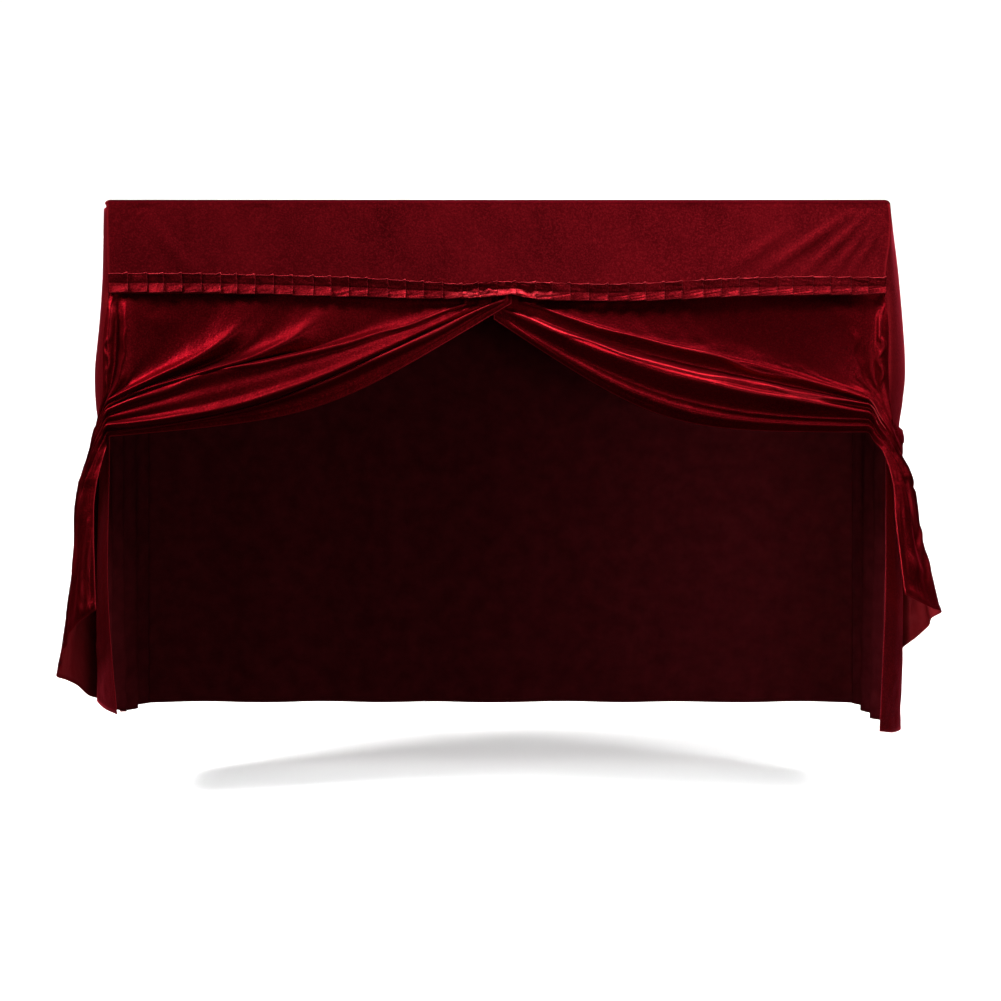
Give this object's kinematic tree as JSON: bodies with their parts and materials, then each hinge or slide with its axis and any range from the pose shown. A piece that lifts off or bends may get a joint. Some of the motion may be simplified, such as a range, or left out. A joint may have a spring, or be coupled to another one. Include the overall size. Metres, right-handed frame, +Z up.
{
  "type": "piano cover",
  "caption": "Fitted velvet cover for an upright piano: flat top, front valance with pleated trim, parted curtains swept to the sides, long side and back panels.",
  "frame": {"origin": "centre of the underside of the top panel, where the piano's lid bears on it", "axes": "+X to the right of someone facing the front, the front faces -Y, +Z up"},
  "size_m": [1.7636, 0.4723, 1.0805],
  "materials": {
    "velvet": "soft wine-red velvet with a short brushed pile",
    "trim_velvet": "the same velvet pressed into small pleats"
  },
  "bodies": {
    "root": {"top_panel": "velvet", "valance_front": "velvet", "pleated_trim": "trim_velvet", "curtain_left": "velvet", "curtain_right": "velvet", "side_left": "velvet", "side_right": "velvet", "back_panel": "velvet"}
  },
  "joints": []
}
